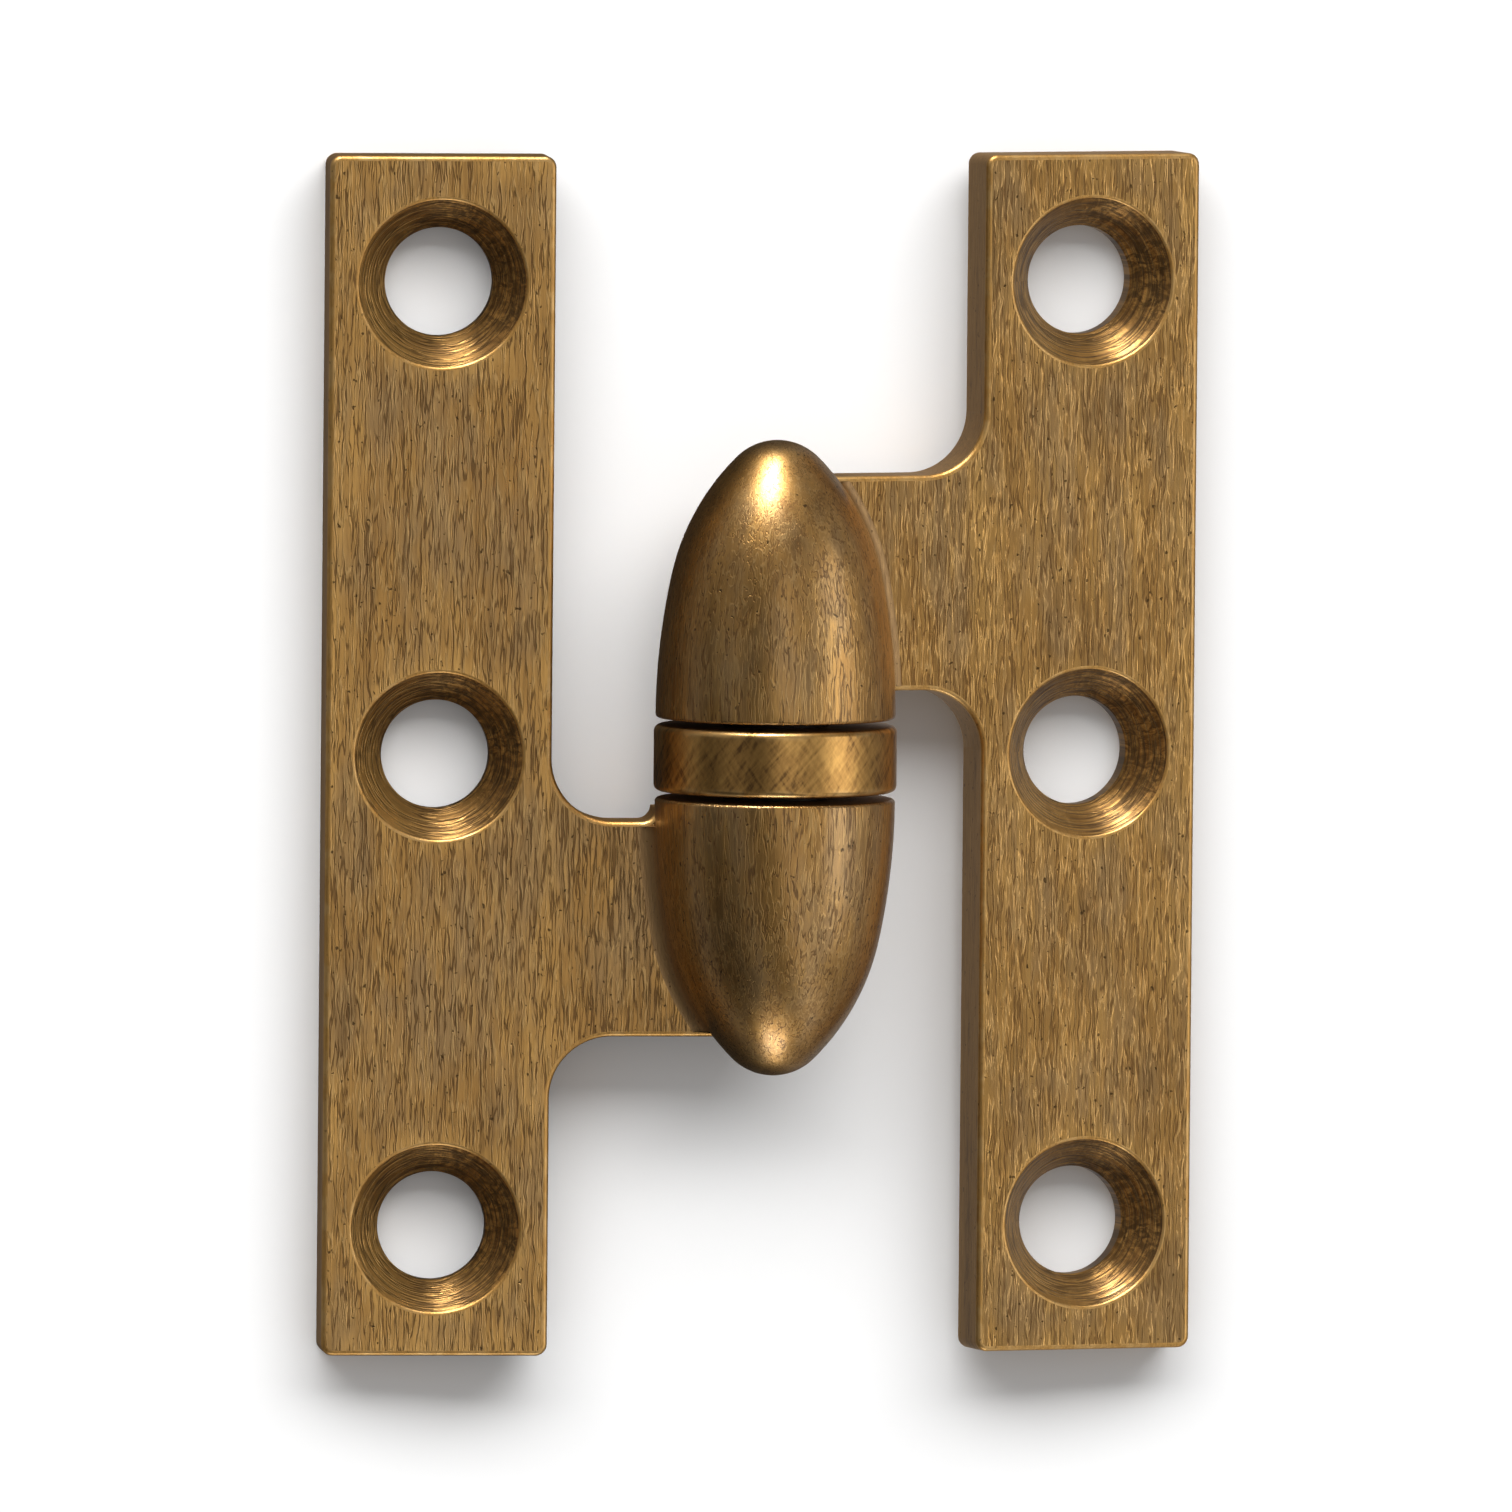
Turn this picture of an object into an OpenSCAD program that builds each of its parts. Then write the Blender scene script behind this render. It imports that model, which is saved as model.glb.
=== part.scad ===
// Olive-knuckle paumelle hinge, lift-off, shown open and lying on its back.
// The pin axis runs along Y. The lower leaf is on the -X side and the upper leaf on the +X side.
// The screw faces look up (+Z), and both leaves droop until their outer back edges reach z = 0.

/* [Leaves] */
// Length of each leaf along the pin
leaf_length = 63.5; // [50:0.5:90]
// Distance from the pin axis to the outer edge of a leaf
leaf_reach = 23.8; // [22:0.1:32]
// Width of the screw plate of a leaf
plate_width = 12; // [11:0.1:14]
// Thickness of a leaf
leaf_thickness = 3.2; // [2.4:0.1:4]
// Radius of the corners of a plate, seen from the front
corner_radius = 0.6; // [0.3:0.1:2]
// Height of the pin axis over the front face of a leaf
axis_offset = 0.4; // [0:0.05:1.2]

/* [Screw holes] */
// Distance from each end of a leaf to its nearest screw hole
hole_end_distance = 6.75; // [5.5:0.25:9]
// Diameter of the screw holes
hole_d = 5.75; // [4:0.05:6.5]
// Diameter of the countersinks at the front face
countersink_d = 9; // [7:0.1:10]
// Included angle of the countersinks
countersink_angle = 72; // [70:1:100]

/* [Knuckle] */
// Diameter of the two olive halves where they meet the ring
olive_d = 12.7; // [11:0.1:15]
// Length of each olive half
olive_length = 14.7; // [13:0.1:18]
// Radius of the blunt tip of an olive half
tip_radius = 3.05; // [2.5:0.05:3.5]
// Chamfer round the open end of an olive half
rim_chamfer = 0.15; // [0.05:0.05:0.4]
// Length of the neck that carries an olive half, along the pin
neck_length = 11.4; // [9:0.1:11.8]
// Distance from the open end of an olive half to its neck
neck_setback = 1.3; // [0.5:0.1:2]
// Radius of the fillets between neck and plate
neck_fillet = 3.3; // [2:0.1:4.5]

/* [Ring] */
// How far the ring stands proud of the olive halves, all round
ring_proud = 0.075; // [0:0.005:0.3]
// Height of the ring
ring_height = 3.5; // [2:0.1:6]
// Rounding of the outer edges of the ring
ring_round = 0.35; // [0.1:0.05:0.8]
// Gap between the ring and each olive half
ring_gap = 0.37; // [0.1:0.01:0.6]

/* [Pin and ball] */
// Diameter of the hinge pin
pin_d = 5.5; // [4:0.1:6]
// Radial running clearance between the pin and what turns on it
running_clearance = 0.03; // [0.01:0.01:0.1]
// Depth of the straight part of the bores in the olive halves
bore_depth = 10.9; // [8:0.1:11.2]
// Included angle of the drill point at the end of each bore
drill_angle = 118; // [100:1:130]
// Diameter of the ball between the pin and the end of the upper bore
ball_d = 4; // [3:0.1:4.4]
// Clearance round the ball
ball_clearance = 0.02; // [0.01:0.01:0.05]
// How far the ball stands in the cup of the pin, below its centre
ball_seat = 0.9; // [0.6:0.05:1.2]

/* [Hidden] */
$fn = 96;
// Small overlap of cutting tools past the faces that they cut
over = 1;

plate_inner = leaf_reach - plate_width;
plate_middle = leaf_reach - plate_width / 2;
hole_pitch = leaf_length / 2 - hole_end_distance;
olive_r = olive_d / 2;
ring_r = olive_r + ring_proud;
pin_r = pin_d / 2;
ball_r = ball_d / 2;
// Distance from the middle of the hinge to the open end of each olive half
half_start = ring_height / 2 + ring_gap;
countersink_depth = (countersink_d - hole_d) / 2 / tan(countersink_angle / 2);

// The hinge lies on the ring, the widest part of its knuckle, so the pin axis is that high over z = 0, and the
// leaves droop by the angle at which their outer back edges reach z = 0 as well
axis_height = ring_r;
back_drop = leaf_thickness + axis_offset;
fold = asin(axis_height / norm([leaf_reach, back_drop])) - atan2(back_drop, leaf_reach);

// The outline of an olive half is three arcs that meet tangentially. Their normals turn from the rim to the tip,
// and the middle and side radii follow from the tip radius, the rim and the length.
side_turn = 12;
tip_turn = 45;
turn_x = cos(tip_turn) - cos(side_turn);
turn_y = sin(tip_turn) - sin(side_turn);
need_x = tip_radius * cos(tip_turn) - olive_r;
need_y = olive_length - tip_radius + tip_radius * sin(tip_turn);
side_x = cos(side_turn) - 1;
side_y = sin(side_turn);
side_radius = (need_x * turn_y - need_y * turn_x) / (side_x * turn_y - side_y * turn_x);
middle_radius = (side_x * need_y - side_y * need_x) / (side_x * turn_y - side_y * turn_x);
side_centre = [olive_r - side_radius, 0];
middle_centre = side_centre + (side_radius - middle_radius) * [cos(side_turn), sin(side_turn)];
tip_centre = [0, olive_length - tip_radius];
side_end = side_centre[1] + side_radius * sin(side_turn);
middle_end = tip_centre[1] + tip_radius * sin(tip_turn);

// Levels along the pin, measured from the open end of the upper olive half
drill_slope = tan(drill_angle / 2);
ball_reach = ball_r / sin(drill_angle / 2) + ball_clearance;
running_r = pin_r + running_clearance;
upper_apex = bore_depth + running_r / drill_slope;
ball_level = upper_apex - ball_reach;
pin_top_level = ball_level - ball_seat;
cup_apex_level = ball_level - ball_reach;

brass = "#8c6a38";
ring_brass = "#9c7840";
steel = "#a9abad";

// Places a shape whose Z axis is the pin axis, with z = 0 at the middle of the hinge
module on_axis() {
    translate([0, 0, axis_height]) rotate([-90, 0, 0]) children();
}

// Rectangle with round corners between two opposite corner points
module round_rect(low, high, r) {
    translate([low[0] + r, low[1]]) square([high[0] - low[0] - 2 * r, high[1] - low[1]]);
    translate([low[0], low[1] + r]) square([high[0] - low[0], high[1] - low[1] - 2 * r]);
    for (x = [low[0] + r, high[0] - r], y = [low[1] + r, high[1] - r])
        translate([x, y]) circle(r);
}

// Material that fills the inner corner between plate and neck, with the neck on the side given by up
module corner_fillet(up) {
    difference() {
        translate([-neck_fillet, up > 0 ? 0 : -neck_fillet]) square(neck_fillet);
        translate([-neck_fillet, up * neck_fillet]) circle(neck_fillet);
    }
}

// Outline of a leaf from the front: the screw plate, and the neck that runs in to the pin axis
module leaf_outline() {
    neck_low = half_start + neck_setback;
    round_rect([plate_inner, -leaf_length / 2], [leaf_reach, leaf_length / 2], corner_radius);
    translate([0, neck_low]) square([plate_inner + corner_radius + over, neck_length]);
    translate([plate_inner, neck_low + neck_length]) corner_fillet(1);
    translate([plate_inner, neck_low]) corner_fillet(-1);
}

// Countersunk screw hole with its axis along Z and its front face at z = 0
module screw_hole() {
    translate([0, 0, -leaf_thickness - over]) cylinder(d = hole_d, h = leaf_thickness + 2 * over);
    translate([0, 0, -countersink_depth])
        cylinder(d1 = hole_d, d2 = countersink_d, h = countersink_depth);
    cylinder(d = countersink_d, h = over);
}

// Plate and neck of the upper leaf, drooping by the fold angle about the pin axis
module leaf_plate() {
    translate([0, 0, axis_height]) rotate([0, fold, 0]) translate([0, 0, -axis_offset])
        difference() {
            translate([0, 0, -leaf_thickness]) linear_extrude(leaf_thickness) leaf_outline();
            for (step = [-1, 0, 1])
                translate([plate_middle, step * hole_pitch, 0]) screw_hole();
        }
}

// Half section of an olive half, with its open end on the X axis
module olive_section() {
    difference() {
        union() {
            intersection() {
                translate(side_centre) circle(side_radius, $fn = 720);
                square([olive_r, side_end]);
            }
            intersection() {
                translate(middle_centre) circle(middle_radius, $fn = 360);
                square([olive_r, middle_end]);
            }
            intersection() {
                translate(tip_centre) circle(tip_radius);
                square([olive_r, olive_length + over]);
            }
        }
        polygon([[olive_r - rim_chamfer, 0], [olive_r + over, -over - rim_chamfer],
                 [olive_r + over, rim_chamfer + over], [olive_r, rim_chamfer]]);
    }
}

// Blind bore with a drill point, entering along +Z from z = 0
module blind_bore(r) {
    translate([0, 0, -over]) cylinder(r = r, h = bore_depth + over);
    translate([0, 0, bore_depth]) cylinder(r1 = r, r2 = 0, h = r / drill_slope);
}

// A leaf with its olive half on the +Y side, bored for the pin
module leaf(bore_r) {
    difference() {
        union() {
            leaf_plate();
            on_axis() translate([0, 0, half_start]) rotate_extrude() olive_section();
        }
        on_axis() translate([0, 0, half_start]) blind_bore(bore_r);
    }
}

// Left leaf, forged in one piece with the lower olive half; the pin is pressed into it
module lower_leaf() {
    color(brass) rotate([0, 0, 180]) leaf(pin_r);
}

// Right leaf, forged in one piece with the upper olive half; it turns on the pin and lifts off it
module upper_leaf() {
    color(brass) leaf(running_r);
}

// Steel pin, from the bottom of the lower bore to the cup that holds the ball
module hinge_pin() {
    pin_low = -half_start - bore_depth;
    pin_high = half_start + pin_top_level;
    cup_depth = pin_top_level - cup_apex_level;
    color(steel) on_axis()
        difference() {
            translate([0, 0, pin_low]) cylinder(r = pin_r, h = pin_high - pin_low);
            translate([0, 0, pin_high - cup_depth])
                cylinder(r1 = 0, r2 = cup_depth * drill_slope, h = cup_depth);
        }
}

// Turned ring that floats on the pin between the olive halves
module knuckle_ring() {
    color(ring_brass) on_axis() translate([0, 0, -ring_height / 2]) rotate_extrude()
        intersection() {
            translate([running_r, 0]) square([ring_r - running_r, ring_height]);
            round_rect([0, 0], [ring_r, ring_height], ring_round);
        }
}

// Steel ball that carries the upper leaf on the end of the pin
module thrust_ball() {
    color(steel) on_axis() translate([0, 0, half_start + ball_level]) sphere(ball_r);
}

lower_leaf();
upper_leaf();
hinge_pin();
knuckle_ring();
thrust_ball();
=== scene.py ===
"""Looks of an olive-knuckle paumelle hinge in antique brass, built round its CAD model.

Lengths are metres. A leaf is described in its own coordinates: across runs from the pin axis to the outer edge,
along runs parallel to the pin, and depth rises out of the front face from the level of the pin axis.
"""

import math

import bmesh
import bpy
import numpy as np
from mathutils import Matrix, Vector
from mathutils.geometry import delaunay_2d_cdt


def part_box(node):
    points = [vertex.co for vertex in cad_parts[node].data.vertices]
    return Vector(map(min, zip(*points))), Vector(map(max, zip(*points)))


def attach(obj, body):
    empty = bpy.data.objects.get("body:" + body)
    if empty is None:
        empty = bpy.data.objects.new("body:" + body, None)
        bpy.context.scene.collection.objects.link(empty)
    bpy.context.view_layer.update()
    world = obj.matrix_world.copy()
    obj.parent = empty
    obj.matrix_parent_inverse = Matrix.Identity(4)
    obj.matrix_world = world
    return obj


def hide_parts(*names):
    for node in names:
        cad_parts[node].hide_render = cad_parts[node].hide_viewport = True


bl_info = {
    "name": "Olive-knuckle paumelle hinge",
    "version": (1, 0, 0),
    "blender": (4, 5, 0),
    "location": "3D View > Sidebar > Hinge",
    "description": "Builds the brass leaves, ring and stage of a lift-off paumelle hinge",
    "category": "Object",
}

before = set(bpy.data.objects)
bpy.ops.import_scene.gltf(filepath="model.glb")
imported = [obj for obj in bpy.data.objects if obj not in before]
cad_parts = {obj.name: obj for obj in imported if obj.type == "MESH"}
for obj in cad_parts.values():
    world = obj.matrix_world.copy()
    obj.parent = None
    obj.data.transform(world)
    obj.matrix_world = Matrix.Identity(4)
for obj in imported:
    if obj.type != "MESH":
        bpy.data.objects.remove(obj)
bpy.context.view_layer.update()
LEAF_LOW, LEAF_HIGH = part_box("upper_leaf")
RING_LOW, RING_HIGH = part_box("knuckle_ring")
PIN_LOW, PIN_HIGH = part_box("hinge_pin")
PIN_AXIS_HEIGHT = (RING_LOW.z + RING_HIGH.z) / 2
MM = 0.001


def length_prop(label, about, value):
    """A size in metres that a user may change."""
    return bpy.props.FloatProperty(name=label, description=about, default=value, min=0.0, precision=5,
                                   subtype="DISTANCE", unit="LENGTH")


def angle_prop(label, about, degrees):
    """An angle, given here in degrees."""
    return bpy.props.FloatProperty(name=label, description=about, default=math.radians(degrees),
                                   subtype="ANGLE", unit="ROTATION")


def colour_prop(label, about, value):
    """A linear colour."""
    return bpy.props.FloatVectorProperty(name=label, description=about, default=value, size=3, min=0.0, max=1.0,
                                         subtype="COLOR")


def number_prop(label, about, value):
    """A plain number."""
    return bpy.props.FloatProperty(name=label, description=about, default=value)


class LeafSizes(bpy.types.PropertyGroup):
    """Sizes of a leaf: screw plate, neck and countersunk holes."""

    length: length_prop("Length", "Length of a leaf along the pin", LEAF_HIGH.y - LEAF_LOW.y)
    reach: length_prop("Reach", "Distance from the pin axis to the outer edge", 23.8 * MM)
    plate_width: length_prop("Plate width", "Width of the screw plate", 12 * MM)
    thickness: length_prop("Thickness", "Thickness of a leaf", 3.2 * MM)
    axis_offset: length_prop("Axis offset", "Height of the pin axis over the front face", 0.4 * MM)
    corner_radius: length_prop("Corner radius", "Radius of the plate's corners", 0.6 * MM)
    edge_rounding: length_prop("Edge rounding", "Rubbed rounding along all edges", 0.28 * MM)
    neck_length: length_prop("Neck length", "Length of the neck along the pin", 11.4 * MM)
    neck_setback: length_prop("Neck setback", "Distance from the olive's open end to the neck", 1.3 * MM)
    neck_fillet: length_prop("Neck fillet", "Radius of the fillets between neck and plate", 3.3 * MM)
    valley_radius: length_prop("Valley radius", "Fillet between the neck's front and its olive", 0.9 * MM)
    root_fillet: length_prop("Root fillet", "Fillet between the neck's edge and the olive's open end", 0.7 * MM)
    hole_pitch: length_prop("Hole pitch", "Distance between neighbouring screw holes", 25 * MM)
    hole_diameter: length_prop("Hole diameter", "Diameter of the screw holes", 5.75 * MM)
    sink_diameter: length_prop("Countersink diameter", "Diameter of the countersinks", 9 * MM)
    sink_angle: angle_prop("Countersink angle", "Included angle of the countersinks", 72)
    rim_rounding: length_prop("Rim rounding", "Rubbed rounding round the countersinks", 0.22 * MM)


class KnuckleSizes(bpy.types.PropertyGroup):
    """Sizes of the olive halves and of the ring between them."""

    olive_diameter: length_prop("Olive diameter", "Diameter of the olive halves at the ring", 12.7 * MM)
    olive_length: length_prop("Olive length", "Length of each olive half", 14.7 * MM)
    tip_radius: length_prop("Tip radius", "Radius of the blunt tips", 3.05 * MM)
    side_turn: angle_prop("Side turn", "Angle that the long side arc turns through", 12)
    tip_turn: angle_prop("Tip turn", "Angle at which the tip arc begins", 45)
    rim_rounding: length_prop("Rim rounding", "Rounding round the open ends", 0.2 * MM)
    half_start: length_prop("Half start", "Distance from the middle to an olive's open end", 2.12 * MM)
    pin_diameter: length_prop("Pin diameter", "Diameter of the pin", PIN_HIGH.x - PIN_LOW.x)
    clearance: length_prop("Running clearance", "Radial clearance round the pin", 0.03 * MM)
    bore_depth: length_prop("Bore depth", "Depth of the straight part of the bores", 10.9 * MM)
    drill_angle: angle_prop("Drill angle", "Included angle of the drill point", 118)
    ring_rounding: length_prop("Ring rounding", "Rounding of the ring's outer edges", 0.35 * MM)


class BrassLook(bpy.types.PropertyGroup):
    """Colours and grain of the antique brass."""

    # Light brass also gives the painted highlight on one side of each countersink
    light: colour_prop("Light brass", "Rubbed streaks", (0.70, 0.395, 0.115))
    middle: colour_prop("Middle brass", "Main tone", (0.49, 0.262, 0.075))
    dull: colour_prop("Dull brass", "Grey brown bloom in the middle of the plates", (0.42, 0.262, 0.115))
    # Grey painted into the valleys and side walls as a painted reflection
    grey: colour_prop("Grey brass", "Grey bloom in the valleys and on the sides", (0.31, 0.22, 0.135))
    dark: colour_prop("Dark brass", "Patina left in the grain", (0.19, 0.098, 0.032))
    worn: colour_prop("Worn brass", "Bright metal on rubbed edges", (0.74, 0.465, 0.18))
    # Recess brass also gives the painted shade on one side of each countersink
    recess: colour_prop("Recess brass", "Patina inside the countersinks", (0.085, 0.047, 0.016))
    steel: colour_prop("Steel", "Pin and ball", (0.55, 0.55, 0.56))
    grain_across: number_prop("Grain across", "Grain lines per millimetre across the pin", 9.0)
    grain_along: number_prop("Grain along", "Grain lines per millimetre along the pin", 0.5)


class StageLook(bpy.types.PropertyGroup):
    """Camera and light of the studio."""

    distance: length_prop("Distance", "Distance from the camera to the hinge", 2.0)
    scale: number_prop("Scale", "Picture points per metre in a picture 1512 points wide", 18930.0)
    yaw: angle_prop("Yaw", "Turn of the camera towards the lower leaf", 12.8)
    pitch: angle_prop("Pitch", "Rise of the camera towards the upper end", 3.8)
    roll: angle_prop("Roll", "Turn of the picture", 0.5)
    aim: bpy.props.FloatVectorProperty(name="Aim", description="Point at the centre of the picture",
                                       default=(-1.04 * MM, 0.1 * MM, PIN_AXIS_HEIGHT), size=3,
                                       subtype="XYZ", unit="LENGTH")
    floor: colour_prop("Floor", "Colour of the floor", (0.86, 0.86, 0.86))


class HingeSettings(bpy.types.PropertyGroup):
    """All settings of the hinge."""

    leaf: bpy.props.PointerProperty(type=LeafSizes, name="Leaf", description="Sizes of the leaves")
    knuckle: bpy.props.PointerProperty(type=KnuckleSizes, name="Knuckle", description="Sizes of olives and ring")
    brass: bpy.props.PointerProperty(type=BrassLook, name="Brass", description="Colours and grain")
    stage: bpy.props.PointerProperty(type=StageLook, name="Stage", description="Camera and light")


# Shader maths

class Signal:
    """A shader socket that adds Math nodes when it is used in a Python expression."""

    def __init__(self, graph, socket):
        self.graph = graph
        self.socket = socket

    def __add__(self, other):
        return self.graph.math("ADD", self, other)

    def __radd__(self, other):
        return self.graph.math("ADD", other, self)

    def __sub__(self, other):
        return self.graph.math("SUBTRACT", self, other)

    def __rsub__(self, other):
        return self.graph.math("SUBTRACT", other, self)

    def __mul__(self, other):
        return self.graph.math("MULTIPLY", self, other)

    def __rmul__(self, other):
        return self.graph.math("MULTIPLY", other, self)

    def __truediv__(self, other):
        return self.graph.math("DIVIDE", self, other)

    def __abs__(self):
        return self.graph.math("ABSOLUTE", self)


class Graph:
    """The node tree of one material, with short ways to add to it."""

    def __init__(self, name):
        self.material = bpy.data.materials.new(name)
        self.material.use_nodes = True
        self.tree = self.material.node_tree
        self.tree.nodes.clear()

    def node(self, kind, settings=None, values=None):
        """Adds a node of that type. Settings are set first, then values or links go to its sockets."""
        node = self.tree.nodes.new(kind)
        for key, value in (settings or {}).items():
            if key == "stops":
                self.set_stops(node.color_ramp, value)
            else:
                setattr(node, key, value)
        for key, value in (values or {}).items():
            self.feed(node.inputs[key], value)
        return node

    def set_stops(self, ramp, stops):
        """Gives a ramp these stops, each a place and a colour."""
        while len(ramp.elements) < len(stops):
            ramp.elements.new(0.5)
        for element, (place, colour) in zip(ramp.elements, stops):
            element.position = place
            element.color = (*colour, 1)

    def feed(self, socket, value):
        """Links a Signal to a socket, or sets a plain value on it."""
        if isinstance(value, Signal):
            self.tree.links.new(value.socket, socket)
        elif socket.type == "RGBA":
            socket.default_value = (*value, 1) if len(value) == 3 else value
        else:
            socket.default_value = value

    def math(self, operation, *values):
        """A Math node on one to three numbers."""
        node = self.node("ShaderNodeMath", {"operation": operation}, dict(enumerate(values)))
        return Signal(self, node.outputs[0])

    def ease(self, value, low, high):
        """Rises smoothly from 0 where value is low to 1 where it is high; high may be the smaller."""
        node = self.node("ShaderNodeMapRange", {"interpolation_type": "SMOOTHSTEP"},
                         {"Value": value, "From Min": low, "From Max": high})
        return Signal(self, node.outputs["Result"])

    def blend(self, factor, first, second, kind="MIX"):
        """Mixes two colours by a factor from 0 to 1."""
        node = self.node("ShaderNodeMix", {"data_type": "RGBA", "blend_type": kind, "clamp_factor": True})
        self.feed(node.inputs[0], factor)
        self.feed(node.inputs[6], first)
        self.feed(node.inputs[7], second)
        return Signal(self, node.outputs[2])

    def place(self, x, y, z):
        """A vector from three numbers."""
        node = self.node("ShaderNodeCombineXYZ", None, {"X": x, "Y": y, "Z": z})
        return Signal(self, node.outputs[0])

    def noise(self, place, detail=2.0, roughness=0.5, distortion=0.0):
        """Cloudy noise from 0 to 1, with features about one unit across."""
        node = self.node("ShaderNodeTexNoise", {"noise_dimensions": "3D"},
                         {"Vector": place, "Scale": 1.0, "Detail": detail, "Roughness": roughness,
                          "Distortion": distortion})
        return Signal(self, node.outputs[0])

    def finish(self, constants, varying, height=None, bump_strength=0.3, bump_distance=0.00005):
        """Closes the graph with a Principled shader: constants on its own sockets, and what varies linked."""
        shader = self.node("ShaderNodeBsdfPrincipled", None, {**constants, **varying})
        if height is not None:
            bump = self.node("ShaderNodeBump", None,
                             {"Strength": bump_strength, "Distance": bump_distance, "Height": height})
            self.feed(shader.inputs["Normal"], Signal(self, bump.outputs[0]))
        output = self.node("ShaderNodeOutputMaterial")
        self.tree.links.new(shader.outputs[0], output.inputs[0])
        return self.material


# Finishes

BRASS = {"Metallic": 1.0, "Coat Weight": 0.15, "Coat Roughness": 0.3}
WAXED_BRASS = {**BRASS, "Coat Weight": 0.4, "Coat Roughness": 0.24}
STEEL = {"Metallic": 1.0}


class HingePlace:
    """Coordinates of a hinge half in millimetres, as shader signals.

    side is 1 on the upper half and -1 on the lower one, which is the upper one turned half a turn about the
    upright axis. The droop angle turns the frame's coordinates back into those of the flat leaf.
    """

    def __init__(self, graph, side, droop):
        coordinates = graph.node("ShaderNodeTexCoord")
        split = graph.node("ShaderNodeSeparateXYZ", None, {0: Signal(graph, coordinates.outputs["Object"])})
        x, y, z = (Signal(graph, split.outputs[i]) for i in range(3))
        outward = x * (side * 1000)
        rise = (z - PIN_AXIS_HEIGHT) * 1000
        self.along = y * (side * 1000)
        self.across = outward * math.cos(droop) - rise * math.sin(droop)
        self.depth = outward * math.sin(droop) + rise * math.cos(droop)
        self.outward = outward
        self.rise = rise


def grain(graph, across, along, depth, look, seed):
    """Brushed grain of the brass: thin wavy lines along the pin, over long pale and dark bands.

    The place is first shifted across by slow noise, so the lines wander. Noise stretched along the pin gives the
    streaks, and more slowly the bands. Two level lines of one stretched noise give thin engraved lines and bright
    burrs beside them, each thinned out in patches. Returns (streaks, lines, burrs, bands, pits), from 0 to 1.
    """
    wander = graph.noise(graph.place(across * 1.6 + seed, along * 0.8, depth * 1.6), 2.0, 0.6)
    bent = across + (wander - 0.5) * 0.24
    streaks = graph.noise(graph.place(bent * look.grain_across, along * look.grain_along + seed,
                                      depth * look.grain_across), 3.0, 0.65)
    fine = graph.noise(graph.place(bent * (look.grain_across * 0.55), along * (look.grain_along * 0.62) + seed,
                                   depth * (look.grain_across * 0.55)), 1.0, 0.5, 0.1)
    gate = graph.noise(graph.place(across * 1.3 + seed, along * 0.5, depth * 1.3 + seed), 2.0, 0.6)
    lines = graph.ease(abs(fine - 0.44), 0.05, 0.01) * graph.ease(gate, 0.3, 0.52)
    burrs = graph.ease(abs(fine - 0.54), 0.05, 0.01) * graph.ease(gate, 0.7, 0.46)
    slow = graph.noise(graph.place(bent * 1.3 + seed, along * 0.06, depth * 1.3), 3.0, 0.6)
    cloud = graph.noise(graph.place(across * 0.2 + seed, along * 0.12, depth * 0.2), 2.0, 0.6)
    bands = slow * 0.6 + cloud * 0.4
    pits = graph.ease(graph.noise(graph.place(across * 4.2, along * 3.0 + seed, depth * 4.2), 1.0), 0.70, 0.78)
    return streaks, lines, burrs, bands, pits


def brushed_brass(name, side, droop, look, sizes, seed, on_plate=True, relief=0.62):
    """Antique brass of the plates, necks and olive halves, brushed along the pin, rubbed bright on the edges."""
    graph = Graph(name)
    at = HingePlace(graph, side, droop)
    streaks, lines, burrs, bands, pits = grain(graph, at.across, at.along, at.depth, look, seed)
    tone = (streaks - 0.5) * 1.0 + (bands - 0.5) * 1.9 + 0.5
    bloom = graph.noise(graph.place(at.across * 0.35 + seed, at.along * 0.12 + 7, at.depth * 0.35), 3.0, 0.6)
    colour = graph.blend(graph.ease(bloom, 0.4, 0.65) * 0.8, look.middle, look.dull)
    colour = graph.blend(graph.ease(tone, 0.5, 0.0) * 0.75, colour, look.dark)
    colour = graph.blend(graph.ease(tone, 0.45, 1.0) * 0.8, colour, look.light)
    rub = 0.0
    if on_plate:
        # Rubbed bands: along the plate's outline, and round each countersink
        nearest = graph.math("ROUND", at.along / (sizes.hole_pitch * 1000)) * (sizes.hole_pitch * 1000)
        middle = (sizes.reach - sizes.plate_width / 2) * 1000
        radius = graph.math("SQRT", graph.math("POWER", at.across - middle, 2.0)
                            + graph.math("POWER", at.along - nearest, 2.0))
        round_hole = graph.ease(radius, sizes.sink_diameter * 500 + 1.2, sizes.sink_diameter * 500)
        inward = at.across - (sizes.reach - sizes.plate_width) * 1000
        edge = graph.math("MINIMUM", sizes.reach * 1000 - at.across, sizes.length * 500 - abs(at.along))
        edge = graph.math("MINIMUM", edge, abs(inward) + 0.5)
        by_edge = graph.ease(edge, 2.3, 0.2)
        rub = graph.math("MAXIMUM", round_hole, by_edge) * graph.ease(bands, 0.3, 0.62)
        colour = graph.blend(rub * 0.62, colour, look.light)
    colour = graph.blend(burrs * 0.45, colour, look.worn)
    colour = graph.blend(lines * 0.8, colour, look.dark)
    colour = graph.blend(pits * 0.85, colour, look.recess)
    roughness = (0.27 if on_plate else 0.29) + (1 - streaks) * 0.13 + lines * 0.1 - rub * 0.04
    # The blunt tips of the olives are rubbed smooth
    smooth = 1.0 if on_plate else graph.ease(at.along, 14.0, 7.5) * 0.85 + 0.15
    height = (streaks * 0.4 + lines * -0.8 + burrs * 0.4 + pits * -0.8) * smooth
    base = BRASS if on_plate else WAXED_BRASS
    return graph.finish(base, {"Base Color": colour, "Roughness": roughness}, height, relief, 0.00004)


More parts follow.
